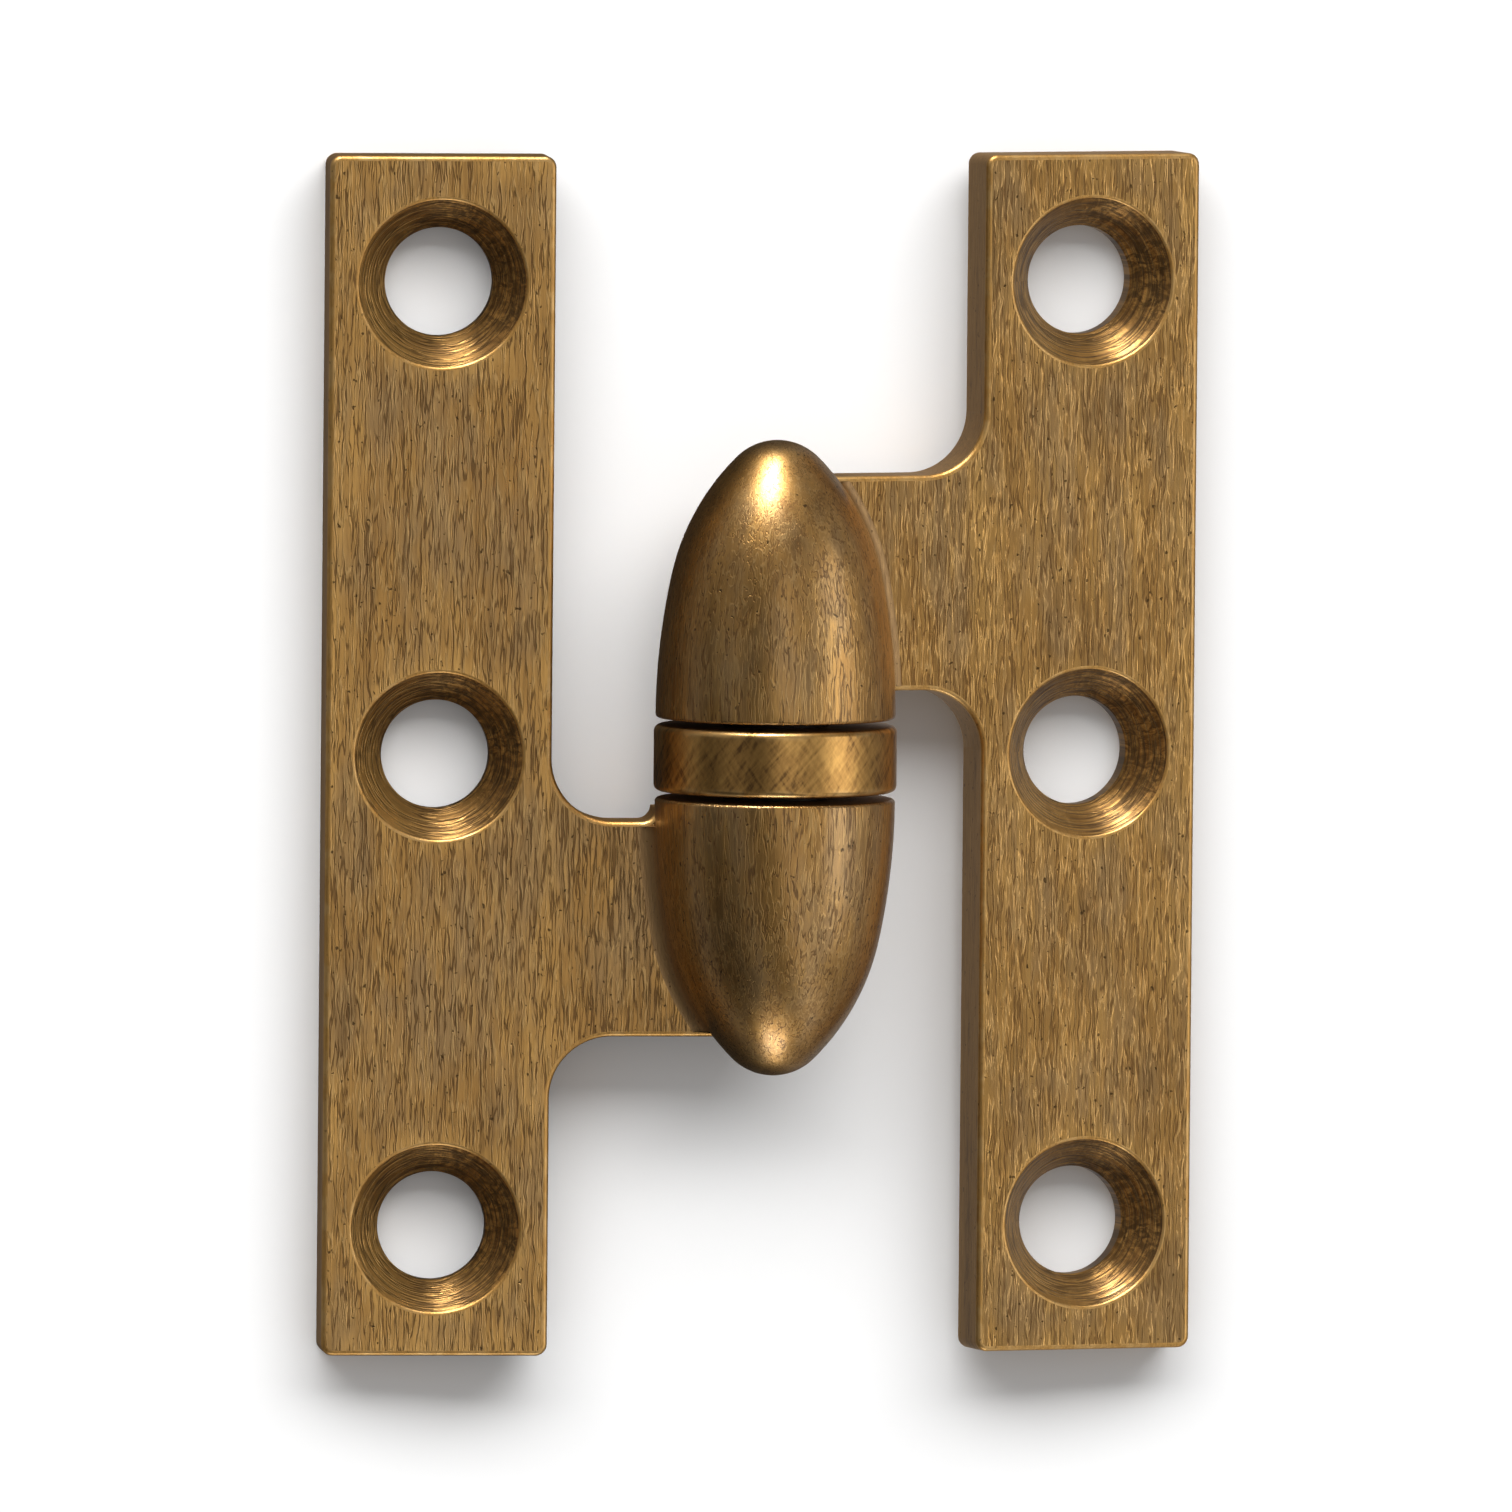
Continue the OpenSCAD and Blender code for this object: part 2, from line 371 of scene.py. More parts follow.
def worn_brass(name, side, droop, look, seed):
    """Rubbed edges: bright metal showing through the patina, in patches."""
    graph = Graph(name)
    at = HingePlace(graph, side, droop)
    streaks, lines, burrs, bands, pits = grain(graph, at.across, at.along, at.depth, look, seed)
    patch = graph.noise(graph.place(at.across * 0.9, at.along * 0.7 + seed, at.depth * 0.9), 3.0, 0.6)
    colour = graph.blend(graph.ease(streaks, 0.3, 0.7), look.middle, look.light)
    colour = graph.blend(graph.ease(patch, 0.42, 0.66) * 0.75, colour, look.worn)
    colour = graph.blend(pits * 0.6, colour, look.dark)
    roughness = 0.38 + (1 - patch) * 0.14
    return graph.finish(BRASS, {"Base Color": colour, "Roughness": roughness}, streaks, 0.2)


def side_brass(name, side, droop, look, seed, painted_grey_reflection=0.25):
    """Side walls and back of a leaf, darker than the front face, with a share of grey painted in as a painted
    reflection of a neutral surround.
    """
    graph = Graph(name)
    at = HingePlace(graph, side, droop)
    streaks, lines, burrs, bands, pits = grain(graph, at.across, at.along, at.depth, look, seed)
    tone = (streaks - 0.5) * 1.4 + (bands - 0.5) * 1.6 + 0.55
    colour = graph.blend(graph.ease(tone, 0.1, 0.55), look.dark, look.middle)
    colour = graph.blend(graph.ease(tone, 0.6, 1.1), colour, look.light)
    # Painted reflection: a share of grey stands in for a neutral reflection on these walls
    colour = graph.blend(painted_grey_reflection, colour, look.grey)
    colour = graph.blend(pits * 0.7, colour, look.recess)
    roughness = 0.42 + (1 - streaks) * 0.14
    height = streaks * 0.6 + lines * -0.5
    return graph.finish(BRASS, {"Base Color": colour, "Roughness": roughness}, height, 0.3)


def turned_brass(name, side, droop, look, sizes, seed):
    """Countersinks: patina with fine turning marks, which are rings of noise over the distance from the hole, with
    painted shade on one side and a painted highlight on the other.
    """
    graph = Graph(name)
    at = HingePlace(graph, side, droop)
    nearest = graph.math("ROUND", at.along / (sizes.hole_pitch * 1000)) * (sizes.hole_pitch * 1000)
    middle = (sizes.reach - sizes.plate_width / 2) * 1000
    aside = at.across - middle
    onward = at.along - nearest
    radius = graph.math("SQRT", aside * aside + onward * onward)
    turn = graph.math("ARCTAN2", onward, aside)
    rings = graph.noise(graph.place(radius * 9.0, turn * 0.5 + nearest, seed), 3.0, 0.7)
    grooves = graph.ease(abs(graph.noise(graph.place(radius * 5.0, turn * 0.7 + nearest, seed + 3), 2.0) - 0.5),
                         0.07, 0.0)
    clouds = graph.noise(graph.place(aside * 0.7 + seed, onward * 0.7, nearest), 3.0, 0.65)
    stains = graph.noise(graph.place(aside * 2.4 + onward * 1.2 + seed, onward * 2.4 - aside * 1.2, nearest + 5),
                         4.0, 0.7, 0.9)
    # Painted shade: the wall on one side of each countersink is darkened with patina colour in stains, as if out
    # of the light, and the opposite wall is lightened as a painted highlight. Cloudy patina is mixed into the
    # shaded side too.
    towards_painted_shade = aside * (0.9 * side) + onward * (0.43 * side)
    painted_shade_and_patina = graph.ease(towards_painted_shade, -1.0, 3.2) * 0.65 + graph.ease(clouds, 0.35, 0.65) * 0.3
    painted_light_side = graph.ease(towards_painted_shade, -1.5, -3.8)
    tone = (rings - 0.5) * 1.8 + (clouds - 0.5) * 1.0 + 0.5
    colour = graph.blend(graph.ease(tone, 0.1, 0.6), look.dark, look.middle)
    colour = graph.blend(graph.ease(tone, 0.5, 1.0), colour, look.light)
    # Painted highlight on the wall turned towards the light
    colour = graph.blend(painted_light_side * 0.7, colour, look.light)
    # Painted shade in stains of patina colour, together with cloudy patina
    colour = graph.blend(painted_shade_and_patina * graph.ease(stains, 0.35, 0.6), colour, look.recess)
    colour = graph.blend(grooves * 0.6, colour, look.recess)
    roughness = 0.24 + (1 - rings) * 0.16 + painted_shade_and_patina * 0.12
    height = rings * 0.6 + grooves * -0.8
    return graph.finish({**BRASS, "Metallic": 0.85}, {"Base Color": colour, "Roughness": roughness}, height, 0.8)


def ring_brass(name, look, seed):
    """The ring: rubbed by hand in crossing directions, with its edges worn bright."""
    graph = Graph(name)
    at = HingePlace(graph, 1, 0.0)
    turn = graph.math("ARCTAN2", at.outward, at.rise) * (RING_HIGH.x * 1000)
    crossed = []
    for slant, shift in ((0.75, 0.0), (-0.6, 9.0), (0.25, 21.0)):
        over = turn * math.cos(slant) - at.along * math.sin(slant)
        through = turn * math.sin(slant) + at.along * math.cos(slant)
        crossed.append(graph.noise(graph.place(over * 3.6 + shift, through * 0.45, seed), 3.0, 0.6))
    streaks = crossed[0] * 0.45 + crossed[1] * 0.3 + crossed[2] * 0.25
    cloud = graph.noise(graph.place(turn * 0.16 + seed, at.along * 0.2, 0.0), 2.0)
    tone = (streaks - 0.5) * 2.8 + (cloud - 0.5) * 1.2 + 0.5
    colour = graph.blend(graph.ease(tone, 0.1, 0.5), look.dark, look.middle)
    colour = graph.blend(graph.ease(tone, 0.4, 0.9), colour, look.light)
    edge = graph.ease(abs(at.along), (RING_HIGH.y - 0.00055) * 1000, (RING_HIGH.y - 0.0001) * 1000)
    patch = graph.ease(graph.noise(graph.place(turn * 0.8, at.along, seed), 2.0), 0.35, 0.6)
    colour = graph.blend(edge * patch * 0.8, colour, look.worn)
    roughness = 0.27 + (1 - streaks) * 0.14
    return graph.finish(BRASS, {"Base Color": colour, "Roughness": roughness}, streaks, 0.35)


def steel(name, look, marks_along, roughness, painted_gap_shade):
    """Ground steel: fine rings round the pin, or a nearly even polish on the ball, with painted shade on the pin
    beside the ring.
    """
    graph = Graph(name)
    at = HingePlace(graph, 1, 0.0)
    marks = graph.noise(graph.place(at.outward * 0.6, at.along * marks_along, at.rise * 0.6), 3.0, 0.6)
    colour = graph.blend(marks, tuple(0.82 * c for c in look.steel), tuple(min(1.0, 1.15 * c) for c in look.steel))
    # Painted shade: the pin is darkened beside the ring, where it shows through the dark gaps between ring and
    # olives
    gap_shade_mask = graph.ease(abs(abs(at.along) - RING_HIGH.y * 1000 - 0.15), 0.75, 0.3) * painted_gap_shade
    colour = graph.blend(gap_shade_mask, colour, (0.03, 0.022, 0.014))
    gloss = roughness + marks * 0.12 + gap_shade_mask * 0.3
    return graph.finish(STEEL, {"Base Color": colour, "Roughness": gloss}, marks, 0.15, 0.00001)


def floor_paper(name, colour, stops):
    """Matt pale studio paper. Seen in the brass it is darker, as dark cards beside the camera would make it: the
    stops give the mirrored level from 50 mm left (0) to 50 mm right (1) of the pin."""
    graph = Graph(name)
    coordinates = graph.node("ShaderNodeTexCoord")
    split = graph.node("ShaderNodeSeparateXYZ", None, {0: Signal(graph, coordinates.outputs["Object"])})
    across = Signal(graph, split.outputs[0]) * 10 + 0.5
    levels = graph.node("ShaderNodeValToRGB", {"stops": [(place, (level,) * 3) for place, level in stops]},
                        {0: across})
    paper = graph.node("ShaderNodeBsdfDiffuse", None, {"Color": tuple(colour)})
    mirrored = graph.node("ShaderNodeEmission", None, {"Color": Signal(graph, levels.outputs[0])})
    ray = graph.node("ShaderNodeLightPath")
    mix = graph.node("ShaderNodeMixShader")
    graph.feed(mix.inputs[0], Signal(graph, ray.outputs["Is Glossy Ray"]))
    graph.tree.links.new(paper.outputs[0], mix.inputs[1])
    graph.tree.links.new(mirrored.outputs[0], mix.inputs[2])
    output = graph.node("ShaderNodeOutputMaterial")
    graph.tree.links.new(mix.outputs[0], output.inputs[0])
    return graph.material


def studio_world(name, open_sky, stops):
    """Even light for the floor. The brass mirrors a darker room, whose level depends on the sideways part of the
    direction: the stops run from the left (0) over straight up (0.5) to the right (1). Towards the lower end the
    room is sheared to the right, and towards the upper end it fades into a middle level."""
    world = bpy.data.worlds.new(name)
    world.use_nodes = True
    tree = world.node_tree
    tree.nodes.clear()
    direction = tree.nodes.new("ShaderNodeTexCoord")
    split = tree.nodes.new("ShaderNodeSeparateXYZ")
    tree.links.new(direction.outputs["Generated"], split.inputs[0])
    spread = tree.nodes.new("ShaderNodeMapRange")
    spread.inputs["From Min"].default_value = -1.0
    spread.inputs["From Max"].default_value = 1.0
    lower = tree.nodes.new("ShaderNodeMath")
    lower.operation = "MINIMUM"
    lower.inputs[1].default_value = 0.0
    tree.links.new(split.outputs[1], lower.inputs[0])
    sheared = tree.nodes.new("ShaderNodeMath")
    sheared.operation = "MULTIPLY_ADD"
    sheared.inputs[1].default_value = 0.8
    tree.links.new(lower.outputs[0], sheared.inputs[0])
    tree.links.new(split.outputs[0], sheared.inputs[2])
    tree.links.new(sheared.outputs[0], spread.inputs["Value"])
    fade = tree.nodes.new("ShaderNodeMapRange")
    fade.interpolation_type = "SMOOTHSTEP"
    fade.inputs["From Min"].default_value = 0.2
    fade.inputs["From Max"].default_value = 0.6
    tree.links.new(split.outputs[1], fade.inputs["Value"])
    room = tree.nodes.new("ShaderNodeMix")
    room.data_type = "RGBA"
    tree.links.new(fade.outputs[0], room.inputs[0])
    room.inputs[7].default_value = (0.26, 0.26, 0.26, 1)
    ramp = tree.nodes.new("ShaderNodeValToRGB")
    ramp.color_ramp.interpolation = "EASE"
    while len(ramp.color_ramp.elements) < len(stops):
        ramp.color_ramp.elements.new(0.5)
    for element, (place, level) in zip(ramp.color_ramp.elements, stops):
        element.position = place
        element.color = (level, level, level, 1)
    tree.links.new(spread.outputs[0], ramp.inputs[0])
    ray = tree.nodes.new("ShaderNodeLightPath")
    mix = tree.nodes.new("ShaderNodeMix")
    mix.data_type = "RGBA"
    tree.links.new(ray.outputs["Is Glossy Ray"], mix.inputs[0])
    mix.inputs[6].default_value = (open_sky, open_sky, open_sky, 1)
    tree.links.new(ramp.outputs[0], room.inputs[6])
    tree.links.new(room.outputs[2], mix.inputs[7])
    background = tree.nodes.new("ShaderNodeBackground")
    tree.links.new(mix.outputs[2], background.inputs["Color"])
    output = tree.nodes.new("ShaderNodeOutputWorld")
    tree.links.new(background.outputs[0], output.inputs[0])
    return world


# Shapes

def arc(centre, radius, start, end, count):
    """Points of a circle arc: the centre plus radius times (cosine, sine) of evenly stepped angles.

    Angles are in degrees. Returns the points and the unit directions from the centre.
    """
    angles = np.radians(np.linspace(start, end, count))
    directions = np.stack([np.cos(angles), np.sin(angles)], 1)
    return np.asarray(centre) + radius * directions, directions


def grid_faces(rows, columns, close_rows=False, close_columns=False):
    """Quads between neighbours of a grid of points, row after row, closed on itself where asked."""
    r, c = np.meshgrid(np.arange(rows if close_rows else rows - 1),
                       np.arange(columns if close_columns else columns - 1), indexing="ij")
    below = (r + 1) % rows
    right = (c + 1) % columns
    corners = [r * columns + c, r * columns + right, below * columns + right, below * columns + c]
    return np.stack(corners, -1).reshape(-1, 4)


class Shell:
    """Collects surface patches, each with a material number, and joins them into one closed mesh."""

    def __init__(self):
        self.points = []
        self.faces = []
        self.numbers = []
        self.count = 0

    def add(self, points, faces, numbers):
        """Adds a patch: its points, its faces as rows of point numbers, and a material number for each face."""
        points = np.asarray(points, float).reshape(-1, 3)
        self.points.append(points)
        self.faces.extend((np.asarray(faces) + self.count).tolist())
        self.numbers.extend(np.broadcast_to(numbers, len(faces)).tolist())
        self.count += len(points)

    def mesh(self, name):
        """The patches as one mesh: doubles merged, so seams and poles close, and all faces turned outwards."""
        mesh = bpy.data.meshes.new(name)
        mesh.from_pydata(np.concatenate(self.points).tolist(), [], self.faces)
        mesh.polygons.foreach_set("material_index", np.array(self.numbers, np.int32))
        work = bmesh.new()
        work.from_mesh(mesh)
        bmesh.ops.remove_doubles(work, verts=work.verts, dist=1e-6)
        bmesh.ops.dissolve_degenerate(work, edges=work.edges, dist=1e-8)
        bmesh.ops.recalc_face_normals(work, faces=work.faces)
        open_edges = sum(1 for e in work.edges if len(e.link_faces) != 2)
        if open_edges:
            raise ValueError(f"{name} isn't closed: {open_edges} open edges")
        work.to_mesh(mesh)
        work.free()
        return mesh


def revolve(profile, count):
    """Surface of revolution about the pin: the profile's radius times (cosine, sine) round the turn, and its
    distance along the pin kept. The profile is rows of (radius, distance along the pin)."""
    turn = np.linspace(0, 2 * math.pi, count, endpoint=False)
    radius, along = np.asarray(profile).T
    x = radius[:, None] * np.cos(turn)
    z = radius[:, None] * np.sin(turn)
    y = np.broadcast_to(along[:, None], x.shape)
    return np.stack([x, y, z], -1)


LEAF_FACE, LEAF_EDGE, LEAF_SIDE, LEAF_SINK, OLIVE, BORE, VALLEY = range(7)


def leaf_path(leaf, knuckle):
    """Outline of a leaf from the front, anticlockwise: round corners of the plate, and fillets into the neck.

    Each arc gives its points, and outward unit normals, which point to the centre in a fillet.
    """
    r = leaf.corner_radius
    low = -leaf.length / 2
    high = leaf.length / 2
    inner = leaf.reach - leaf.plate_width
    neck_low = knuckle.half_start + leaf.neck_setback
    neck_high = neck_low + leaf.neck_length
    f = leaf.neck_fillet
    root = leaf.root_fillet
    olive = knuckle.olive_diameter / 2 - 0.06 * MM
    arcs = [
        (arc((leaf.reach - r, low + r), r, -90, 0, 9), 1),
        (arc((leaf.reach - r, high - r), r, 0, 90, 9), 1),
        (arc((inner + r, high - r), r, 90, 180, 9), 1),
        (arc((inner - f, neck_high + f), f, 0, -90, 33), -1),
        (arc((r, neck_high - r), r, 90, 180, 9), 1),
        (arc((r, neck_low - root + r), r, 180, 270, 9), 1),
        (arc((olive + root, neck_low - root), root, 180, 90, 9), -1),
        (arc((inner - f, neck_low - f), f, 90, 0, 33), -1),
        (arc((inner + r, low + r), r, 180, 270, 9), 1),
    ]
    points = np.concatenate([a[0] for a, sense in arcs])
    normals = np.concatenate([a[1] * sense for a, sense in arcs])
    return points, normals


def rounded_wall(outline, normals, top, bottom, r, steps=6):
    """Wall of a plate with rounded edges: the outline carried along a profile that is a quarter circle at the
    front, a straight side and a quarter circle at the back. A point goes in along its normal by r minus r times
    the cosine of the profile's angle, and up or down by r times its sine."""
    angles = np.linspace(math.pi / 2, 0, steps + 1)
    inset = r - r * np.cos(angles)
    level = top - r + r * np.sin(angles)
    inset = np.concatenate([inset, inset[::-1]])
    level = np.concatenate([level, bottom + top - level[::-1]])
    flat = outline[None] - normals[None] * inset[:, None, None]
    points = np.concatenate([flat, np.broadcast_to(level[:, None, None], (len(level), len(outline), 1))], 2)
    return points, steps


def hole_profile(leaf, steps=6):
    """Radius and depth down a countersunk hole: rounded rim, cone, straight hole and a small rounding at the back.

    The rim's rounding is an arc tangent to the face and to the cone. Returns the profile and, for each step
    along it, the material number."""
    half = leaf.sink_angle / 2
    fall = math.pi / 2 - half
    r = leaf.rim_rounding
    rim = leaf.sink_diameter / 2
    hole = leaf.hole_diameter / 2
    reach = r * math.tan(fall / 2)
    angles = np.linspace(0, fall, steps + 1)
    front = np.stack([rim + reach - r * np.sin(angles), -(r - r * np.cos(angles))], 1)
    cone_depth = (rim - hole) / math.tan(half)
    back = r / 2
    low = -leaf.thickness
    angles = np.linspace(0, math.pi / 2, steps + 1)
    rear = np.stack([hole + back - back * np.cos(angles), low + back - back * np.sin(angles)], 1)
    profile = np.concatenate([front, [[hole, -cone_depth]], rear])
    numbers = [LEAF_EDGE] * steps + [LEAF_SINK] * 2 + [LEAF_SIDE] * steps
    return profile, np.array(numbers)


def flat_face(outline, centres, hole_ring, level):
    """The flat front or back: the outline's area less the holes, in triangles that keep all the edge points."""
    rings = [outline] + [hole_ring + c for c in centres]
    points = np.concatenate(rings)
    edges = []
    start = 0
    for ring in rings:
        edges += [(start + i, start + (i + 1) % len(ring)) for i in range(len(ring))]
        start += len(ring)
    found = delaunay_2d_cdt([Vector(p) for p in points * 1000], edges, [], 1, 1e-7)
    flat = np.array([tuple(v) for v in found[0]]) / 1000
    faces = np.array([tuple(f) for f in found[2]])
    middle = flat[faces].mean(1)
    radius = np.linalg.norm(hole_ring[0])
    apart = np.linalg.norm(middle[:, None] - np.asarray(centres)[None], axis=2).min(1)
    faces = faces[apart > radius]
    return np.column_stack([flat, np.full(len(flat), level)]), faces


def plate_mesh(name, leaf, knuckle):
    """Screw plate and neck of a leaf as one closed mesh, in the leaf's own coordinates."""
    shell = Shell()
    top = -leaf.axis_offset
    bottom = top - leaf.thickness
    outline, normals = leaf_path(leaf, knuckle)
    wall, steps = rounded_wall(outline, normals, top, bottom, leaf.edge_rounding)
    rows, columns = wall.shape[:2]
    numbers = np.array([LEAF_EDGE] * steps + [LEAF_SIDE] + [LEAF_EDGE] * steps)
    shell.add(wall, grid_faces(rows, columns, close_columns=True), np.repeat(numbers, columns))
    middle = leaf.reach - leaf.plate_width / 2
    centres = [(middle, step * leaf.hole_pitch) for step in (-1, 0, 1)]
    profile, numbers = hole_profile(leaf)
    turn = np.linspace(0, 2 * math.pi, 128, endpoint=False)
    circle = np.stack([np.cos(turn), np.sin(turn)], 1)
    for centre in centres:
        ring = profile[:, 0, None, None] * circle + np.asarray(centre)
        level = np.broadcast_to(profile[:, 1, None, None] + top, (len(profile), len(turn), 1))
        shell.add(np.concatenate([ring, level], 2), grid_faces(len(profile), len(turn), close_columns=True),
                  np.repeat(numbers, len(turn)))
    points, faces = flat_face(wall[0, :, :2], centres, circle * profile[0, 0], top)
    shell.add(points, faces, LEAF_FACE)
    points, faces = flat_face(wall[-1, :, :2], centres, circle * profile[-1, 0], bottom)
    shell.add(points, faces, LEAF_SIDE)
    return shell.mesh(name)


def olive_outline(knuckle):
    """Outline of an olive half from its tip to its open end: three arcs that meet tangentially.

    The tip arc turns from the pin's direction to the tip angle, the middle arc on to the side angle and the side
    arc to square with the pin. The two larger radii solve the pair of equations that put the ends together."""
    radius = knuckle.olive_diameter / 2
    tip = knuckle.tip_radius
    side, end = knuckle.side_turn, knuckle.tip_turn
    turn = np.array([math.cos(end) - math.cos(side), math.sin(end) - math.sin(side)])
    first = np.array([math.cos(side) - 1, math.sin(side)])
    need = np.array([tip * math.cos(end) - radius, knuckle.olive_length - tip + tip * math.sin(end)])
    side_radius, middle_radius = np.linalg.solve(np.stack([first, turn], 1), need)
    side_centre = np.array([radius - side_radius, 0.0])
    middle_centre = side_centre + (side_radius - middle_radius) * np.array([math.cos(side), math.sin(side)])
    tip_points = arc((0, knuckle.olive_length - tip), tip, 90, math.degrees(end), 16)[0]
    middle_points = arc(middle_centre, middle_radius, math.degrees(end), math.degrees(side), 20)[0]
    r = knuckle.rim_rounding
    low = math.degrees(math.asin(r / side_radius))
    side_points = arc(side_centre, side_radius, math.degrees(side), low, 16)[0]
    rim = arc((side_points[-1][0] - r, r), r, 0, -90, 7)[0]
    tip_points[0, 0] = 0.0
    return np.concatenate([tip_points, middle_points[1:], side_points[1:], rim[1:]])


def olive_mesh(name, knuckle, bore_radius):
    """Hollow olive half as a closed surface of revolution: outside, open end, bore and drill point."""
    shell = Shell()
    outside = olive_outline(knuckle)
    slope = math.tan(knuckle.drill_angle / 2)
    soft = 0.08 * MM
    inside = np.array([
        (bore_radius + soft, 0.0),
        (bore_radius, soft),
        (bore_radius, knuckle.bore_depth),
        (0.0, knuckle.bore_depth + bore_radius / slope),
    ])
    profile = np.concatenate([outside, inside])
    points = revolve(profile + [0.0, knuckle.half_start], 160)
    numbers = np.array([OLIVE] * (len(outside) - 1) + [BORE] * 4)
    shell.add(points, grid_faces(len(profile), 160, close_columns=True), np.repeat(numbers, 160))
    return shell.mesh(name)


def olive_radius(knuckle, along):
    """Radius of the olive at distances along the pin from its open end, read off its outline."""
    outside = olive_outline(knuckle)[::-1]
    return np.interp(along, outside[:, 1], outside[:, 0])


def valley_mesh(name, leaf, knuckle):
    """Fillet in the valley between an olive half and its neck's front face, as a closed strip.

    In each section square to the pin, a ball of the fillet's radius touches the face and the olive: its centre is
    that radius over the face, and olive radius plus fillet radius away from the pin. The arc between the two
    touching points is carried along the neck, and is closed under the surface of both."""
    r = leaf.valley_radius
    face = -leaf.axis_offset
    inset = leaf.edge_rounding * 0.9
    start = leaf.neck_setback + inset
    along = np.linspace(start, leaf.neck_setback + leaf.neck_length - inset, 40)
    radius = olive_radius(knuckle, along)
    level = face + r
    centre = np.sqrt((radius + r) ** 2 - level ** 2)
    olive_side = np.arctan2(-level, -centre)
    olive_side = np.where(olive_side > 0, olive_side - 2 * math.pi, olive_side)
    steps = np.linspace(0, 1, 9)
    angles = olive_side[:, None] * (1 - steps) + (-math.pi / 2) * steps
    across = centre[:, None] + r * np.cos(angles)
    depth = level + r * np.sin(angles)
    sunk = 0.12 * MM
    across = np.column_stack([across, across[:, -1], across[:, 0] - sunk])
    depth = np.column_stack([depth, np.full((len(along), 2), face - sunk)])
    points = np.stack([across, np.broadcast_to(along[:, None] + knuckle.half_start, across.shape), depth], -1)
    rows, columns = across.shape
    shell = Shell()
    shell.add(points, grid_faces(rows, columns, close_columns=True), VALLEY)
    for row in (0, rows - 1):
        middle = points[row].mean(0)
        ends = np.concatenate([points[row], [middle]])
        around = np.arange(columns)
        shell.add(ends, np.stack([around, (around + 1) % columns, np.full(columns, columns)], 1), VALLEY)
    return shell.mesh(name)


def clearing_mesh(name, knuckle, radius):
    """Closed tool that clears the neck out of the bore; its wall lies inside the olive's wall."""
    shell = Shell()
    slope = math.tan(knuckle.drill_angle / 2)
    profile = np.array([
        (0.0, -MM),
        (radius, -MM),
        (radius, knuckle.bore_depth),
        (0.0, knuckle.bore_depth + radius / slope),
    ])
    points = revolve(profile + [0.0, knuckle.half_start], 96)
    shell.add(points, grid_faces(len(profile), 96, close_columns=True), BORE)
    return shell.mesh(name)


def droop_angle(leaf):
    """Angle at which a leaf's outer back edge reaches the floor while the pin axis is at its height."""
    back = leaf.thickness + leaf.axis_offset
    return math.asin(PIN_AXIS_HEIGHT / math.hypot(leaf.reach, back)) - math.atan2(back, leaf.reach)


def new_object(name, mesh, materials=()):
    """Puts a mesh into the scene as an object at the origin."""
    piece = bpy.data.objects.new(name, mesh)
    bpy.context.scene.collection.objects.link(piece)
    for material in materials:
        mesh.materials.append(material)
    return piece


def joined(base, steps):
    """The mesh of base after exact Boolean steps, each an operation and an object, with the helpers removed."""
    for operation, other in steps:
        change = base.modifiers.new(operation.lower(), "BOOLEAN")
        change.operation = operation
        change.solver = "EXACT"
        change.object = other
    bpy.context.view_layer.update()
    result = bpy.data.meshes.new_from_object(base.evaluated_get(bpy.context.evaluated_depsgraph_get()))
    for operation, other in steps:
        bpy.data.objects.remove(other)
    bpy.data.objects.remove(base)
    return result


def shade(piece, degrees):
    """Smooth shading with sharp edges over that angle, and normals that follow the larger faces."""
    piece.data.polygons.foreach_set("use_smooth", np.ones(len(piece.data.polygons), bool))
    piece.data.set_sharp_from_angle(angle=math.radians(degrees))
    weighted = piece.modifiers.new("face weighted normals", "WEIGHTED_NORMAL")
    weighted.mode = "FACE_AREA"
    weighted.weight = 100
    weighted.keep_sharp = True


def make_leaf(name, side, body, node, settings, seed):
    """One leaf with its olive half: plate, neck and hollow olive joined, drooped, and turned for its side."""
    leaf, knuckle, look = settings.leaf, settings.knuckle, settings.brass
    droop = droop_angle(leaf)
    bore = knuckle.pin_diameter / 2 + (knuckle.clearance if side > 0 else 0.0)
    materials = [
        brushed_brass(f"{name}_face_brass", side, droop, look, leaf, seed),
        worn_brass(f"{name}_worn_brass", side, droop, look, seed + 3),
        side_brass(f"{name}_side_brass", side, droop, look, seed + 5),
        turned_brass(f"{name}_countersink_brass", side, droop, look, leaf, seed + 7),
        brushed_brass(f"{name}_olive_brass", side, 0.0, look, leaf, seed + 11, False, 0.42),
        side_brass(f"{name}_bore_brass", side, 0.0, look, seed + 13),
        # The valley takes twice the grey: a painted reflection of the olive in the fillet
        side_brass(f"{name}_valley_grey_reflection_brass", side, droop, look, seed + 17, 0.5),
    ]
    plate = plate_mesh(f"{name}_plate", leaf, knuckle)
    plate.transform(Matrix.Rotation(droop, 4, "Y"))
    base = new_object(f"{name}_plate", plate, materials)
    clearing = new_object(f"{name}_clearing", clearing_mesh(f"{name}_clearing", knuckle, bore + 0.25 * MM),
                          materials)
    olive = new_object(f"{name}_olive", olive_mesh(f"{name}_olive", knuckle, bore), materials)
    valley = new_object(f"{name}_valley", valley_mesh(f"{name}_valley", leaf, knuckle), materials)
    valley.data.transform(Matrix.Rotation(droop, 4, "Y"))
    mesh = joined(base, [("DIFFERENCE", clearing), ("UNION", olive), ("UNION", valley)])
    mesh.name = name
    mesh.transform(Matrix.Translation((0, 0, PIN_AXIS_HEIGHT)))
    if side < 0:
        mesh.transform(Matrix.Rotation(math.pi, 4, "Z"))
    piece = new_object(name, mesh)
    shade(piece, 32)
    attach(piece, body)
    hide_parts(node)
    return piece


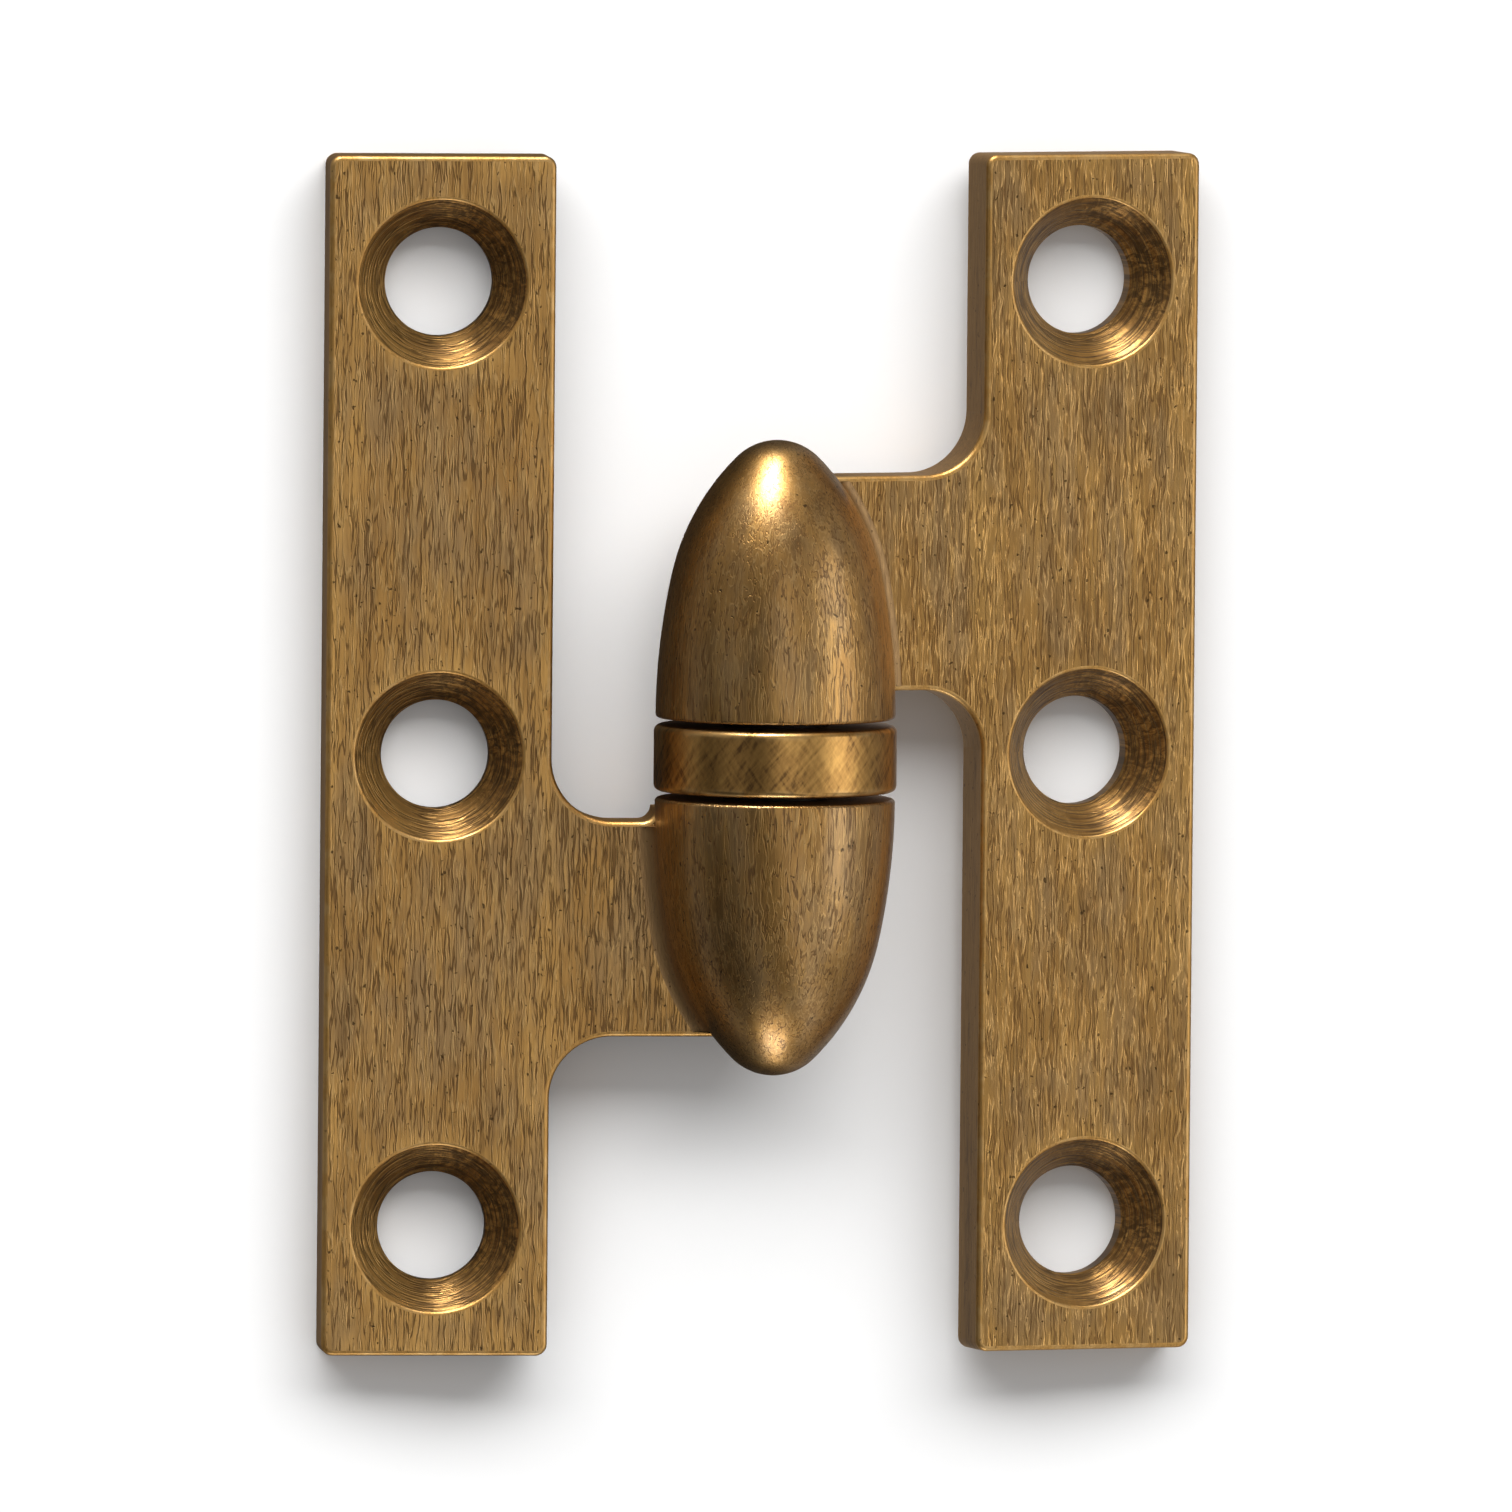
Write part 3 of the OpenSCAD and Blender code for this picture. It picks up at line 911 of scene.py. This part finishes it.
def make_ring(name, settings):
    """The ring as a closed surface of revolution: outer wall with round edges, flat ends and bore."""
    knuckle = settings.knuckle
    outer = RING_HIGH.x
    high = RING_HIGH.y
    bore = knuckle.pin_diameter / 2 + knuckle.clearance
    r = knuckle.ring_rounding
    upper = arc((outer - r, high - r), r, 90, 0, 9)[0]
    lower = arc((outer - r, r - high), r, 0, -90, 9)[0]
    soft = 0.1 * MM
    inside = np.array([(bore + soft, -high), (bore, soft - high), (bore, high - soft), (bore + soft, high)])
    profile = np.concatenate([upper, lower, inside])
    shell = Shell()
    shell.add(revolve(profile, 192), grid_faces(len(profile), 192, True, True), 0)
    mesh = shell.mesh(name)
    mesh.transform(Matrix.Translation((0, 0, PIN_AXIS_HEIGHT)))
    piece = new_object(name, mesh, [ring_brass(f"{name}_brass", settings.brass, 40)])
    shade(piece, 32)
    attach(piece, "ring")
    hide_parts("knuckle_ring")
    return piece


def dress_node(node, material):
    """Gives a CAD node that stays visible its own material on every slot."""
    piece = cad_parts[node]
    piece.data.materials.clear()
    piece.data.materials.append(material)


def soft_light(name, place, target, size, power, lit):
    """A flat soft light at a place, facing a target. It lights the floor only, or shows in the brass only."""
    light = bpy.data.lights.new(name, "AREA")
    light.shape = "RECTANGLE"
    light.size, light.size_y = size
    light.energy = power
    lamp = bpy.data.objects.new(name, light)
    bpy.context.scene.collection.objects.link(lamp)
    lamp.location = place
    lamp.rotation_euler = (Vector(target) - Vector(place)).to_track_quat("-Z", "Y").to_euler()
    lamp.visible_glossy = lit == "brass"
    lamp.visible_diffuse = lit == "floor"
    return lamp


def place_camera(stage):
    """Camera on a long lens. Its direction is turned by yaw and raised by pitch from straight above."""
    camera = bpy.data.objects.new("camera", bpy.data.cameras.new("camera"))
    bpy.context.scene.collection.objects.link(camera)
    back = Vector((-math.sin(stage.yaw) * math.cos(stage.pitch), math.sin(stage.pitch),
                   math.cos(stage.yaw) * math.cos(stage.pitch)))
    right = Vector((0, 1, 0)).cross(back).normalized()
    upward = back.cross(right)
    turn = Matrix((right, upward, back)).transposed().to_4x4()
    place = Vector(stage.aim) + back * stage.distance
    camera.matrix_world = Matrix.Translation(place) @ turn @ Matrix.Rotation(stage.roll, 4, "Z")
    camera.data.sensor_width = 36.0
    camera.data.lens = stage.scale * stage.distance / 1512 * 36.0
    camera.data.clip_start = 0.01
    camera.data.clip_end = 20.0
    bpy.context.scene.camera = camera


# Levels of the room that the brass mirrors
FLOOR_STOPS = ((0.2, 0.25), (0.3, 0.03), (0.45, 0.015), (0.53, 0.05), (0.57, 0.25), (0.85, 0.25))
ROOM_STOPS = ((0.0, 0.02), (0.06, 0.3), (0.11, 0.34), (0.19, 0.0), (0.32, 0.0), (0.38, 0.62), (0.46, 1.0),
              (0.66, 0.18), (0.86, 0.36), (1.0, 0.3))


class HINGE_OT_leaves(bpy.types.Operator):
    """Build both leaves with their olive halves"""

    bl_idname = "hinge.leaves"
    bl_label = "Leaves"

    def execute(self, context):
        settings = context.scene.hinge_settings
        make_leaf("lower_leaf_brass", -1, "fixed_half", "lower_leaf", settings, 17)
        make_leaf("upper_leaf_brass", 1, "lift_off_half", "upper_leaf", settings, 61)
        return {"FINISHED"}


class HINGE_OT_ring(bpy.types.Operator):
    """Build the ring between the olive halves"""

    bl_idname = "hinge.ring"
    bl_label = "Ring"

    def execute(self, context):
        make_ring("knuckle_ring_brass", context.scene.hinge_settings)
        return {"FINISHED"}


class HINGE_OT_pin_and_ball(bpy.types.Operator):
    """Give the pin and the ball their steel"""

    bl_idname = "hinge.pin_and_ball"
    bl_label = "Pin and ball"

    def execute(self, context):
        look = context.scene.hinge_settings.brass
        # The pin takes the painted shade beside the ring; the ball takes none
        dress_node("hinge_pin", steel("pin_ground_steel", look, 7.0, 0.22, 0.95))
        dress_node("thrust_ball", steel("ball_polished_steel", look, 0.6, 0.08, 0.0))
        return {"FINISHED"}


class HINGE_OT_stage(bpy.types.Operator):
    """Set out the floor, the lights and the camera"""

    bl_idname = "hinge.stage"
    bl_label = "Stage"

    def execute(self, context):
        stage = context.scene.hinge_settings.stage
        mesh = bpy.data.meshes.new("studio_floor")
        half = 3.0
        mesh.from_pydata([(-half, -half, 0), (half, -half, 0), (half, half, 0), (-half, half, 0)], [],
                         [(0, 1, 2, 3)])
        floor = new_object("studio_floor", mesh, [floor_paper("studio_paper", tuple(stage.floor), FLOOR_STOPS)])
        context.scene.world = studio_world("studio", 0.45, ROOM_STOPS)
        context.scene.view_settings.view_transform = "Standard"
        soft_light("sky_panel", (0, 0.9, 0.85), (0, 0, 0), (2.2, 0.7), 27.5, "floor")
        soft_light("upper_panel", (-0.2, 1.0, 0.25), (0, 0, 0), (0.3, 0.26), 12.0, "brass")
        soft_light("lower_panel", (0.0, -1.0, 0.17), (0, 0, 0), (0.4, 0.14), 1.8, "brass")
        soft_light("right_panel", (0.8, 0.05, 0.6), (0, 0, 0), (0.9, 0.5), 2.1, "brass")
        place_camera(stage)
        return {"FINISHED"}


class HINGE_PT_panel(bpy.types.Panel):
    """Lists the steps that build the hinge"""

    bl_label = "Paumelle hinge"
    bl_space_type = "VIEW_3D"
    bl_region_type = "UI"
    bl_category = "Hinge"

    def draw(self, context):
        column = self.layout.column()
        for step in STEPS:
            column.operator(step.bl_idname)


STEPS = (HINGE_OT_leaves, HINGE_OT_ring, HINGE_OT_pin_and_ball, HINGE_OT_stage)
CLASSES = (LeafSizes, KnuckleSizes, BrassLook, StageLook, HingeSettings) + STEPS + (HINGE_PT_panel,)


def register():
    for each in CLASSES:
        bpy.utils.register_class(each)
    bpy.types.Scene.hinge_settings = bpy.props.PointerProperty(type=HingeSettings)


def unregister():
    del bpy.types.Scene.hinge_settings
    for each in reversed(CLASSES):
        bpy.utils.unregister_class(each)


def main():
    register()
    bpy.ops.hinge.leaves()
    bpy.ops.hinge.ring()
    bpy.ops.hinge.pin_and_ball()
    bpy.ops.hinge.stage()


if __name__ == "__main__":
    main()
